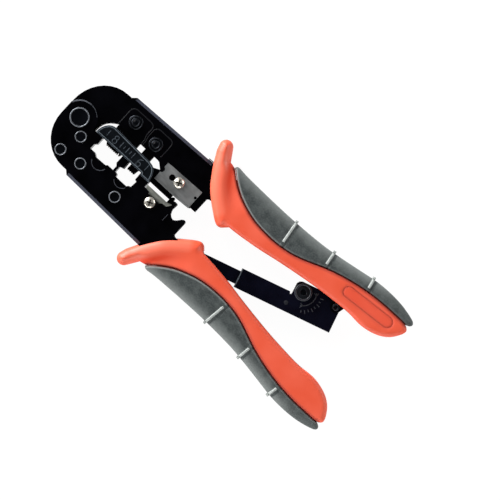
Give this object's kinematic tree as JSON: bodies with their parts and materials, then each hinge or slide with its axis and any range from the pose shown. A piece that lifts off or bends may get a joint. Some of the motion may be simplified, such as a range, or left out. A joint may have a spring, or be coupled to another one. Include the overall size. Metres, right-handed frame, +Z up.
{
  "type": "crimping tool",
  "caption": "Handheld ratchet crimping tool for modular plugs: flat steel head with plug nests, a cable cutter and a wire stripper, and contrasting handle grips.",
  "frame": {"origin": "middle of the tool's footprint, on the surface it lies on", "axes": "+X from the head to the handle ends, +Y towards the moving jaw and its handle, +Z up out of the flat of the tool"},
  "size_m": [0.1834, 0.0754, 0.0204],
  "materials": {
    "black_paint": "gloss black paint over sheet steel",
    "bar_paint": "satin blue-grey paint with raised marks",
    "rivet_steel": "blackened rivet with a bright worn rim",
    "tool_steel": "black oxide on tool steel",
    "blade_steel": "ground blade steel",
    "spring_steel": "plain spring steel",
    "nickel": "warm nickel plate",
    "orange_plastic": "smooth orange-red grip plastic",
    "grey_rubber": "matt grey grip rubber"
  },
  "bodies": {
    "lower_frame": {"lower_frame": "black_paint", "nest_block": "tool_steel", "marking_bar_front": "bar_paint", "marking_bar_back": "bar_paint", "main_rivet": "rivet_steel", "frame_rivet_1": "rivet_steel", "frame_rivet_2": "rivet_steel", "frame_rivet_3": "rivet_steel", "frame_rivet_4": "rivet_steel", "pivot_washer_front": "nickel", "pivot_washer_back": "nickel", "stripping_blade": "blade_steel", "stripping_screw": "nickel", "rack_pin": "spring_steel", "rack_spacer_front": "spring_steel", "rack_spacer_back": "spring_steel", "lower_grip": "orange_plastic", "lower_grip_insert": "grey_rubber"},
    "upper_jaw": {"upper_jaw": "black_paint", "crimp_die_8p": "tool_steel", "contact_comb_8p": "blade_steel", "die_pin_8p": "rivet_steel", "crimp_die_6p": "tool_steel", "contact_comb_6p": "blade_steel", "die_pin_6p": "rivet_steel", "cutter_blade": "blade_steel", "cutter_screw": "nickel", "housing_pin": "spring_steel", "upper_grip": "orange_plastic", "upper_grip_insert": "grey_rubber"},
    "rack": {"ratchet_rack": "black_paint"},
    "housing": {"strut_housing": "black_paint", "stop_pin": "spring_steel", "handle_spring": "spring_steel"},
    "pawl": {"pawl": "spring_steel", "pawl_spring": "spring_steel", "release_shaft": "rivet_steel", "release_knob": "black_paint", "knob_screw": "rivet_steel"}
  },
  "joints": [
    {"name": "jaw_pivot", "type": "hinge", "parent": "lower_frame", "child": "upper_jaw", "pos_m": [-0.08402, -0.00085, 0.0102], "axis": [0, 0, -1], "range_deg": [0, 7.2], "stiffness_Nm_per_rad": 1.5, "deforming": ["handle_spring"]},
    {"name": "rack_pivot", "type": "hinge", "parent": "lower_frame", "child": "rack", "pos_m": [-0.00798, -0.01379, 0.0102], "axis": [0, 0, -1], "range_deg": [0, 14.6]},
    {"name": "housing_pivot", "type": "hinge", "parent": "upper_jaw", "child": "housing", "pos_m": [0.06028, 0.01445, 0.0102], "axis": [0, 0, -1], "range_deg": [0, 7.4]},
    {"name": "pawl_release", "type": "hinge", "parent": "housing", "child": "pawl", "pos_m": [0.04488, 0.00945, 0.0102], "axis": [0, 0, 1], "range_deg": [0, 25], "stiffness_Nm_per_rad": 0.02, "deforming": ["pawl_spring"]}
  ],
  "couplings": [
    {"joint": "rack_pivot", "follows": "jaw_pivot", "ratio": 2.0187},
    {"joint": "housing_pivot", "follows": "jaw_pivot", "ratio": 1.0187}
  ]
}
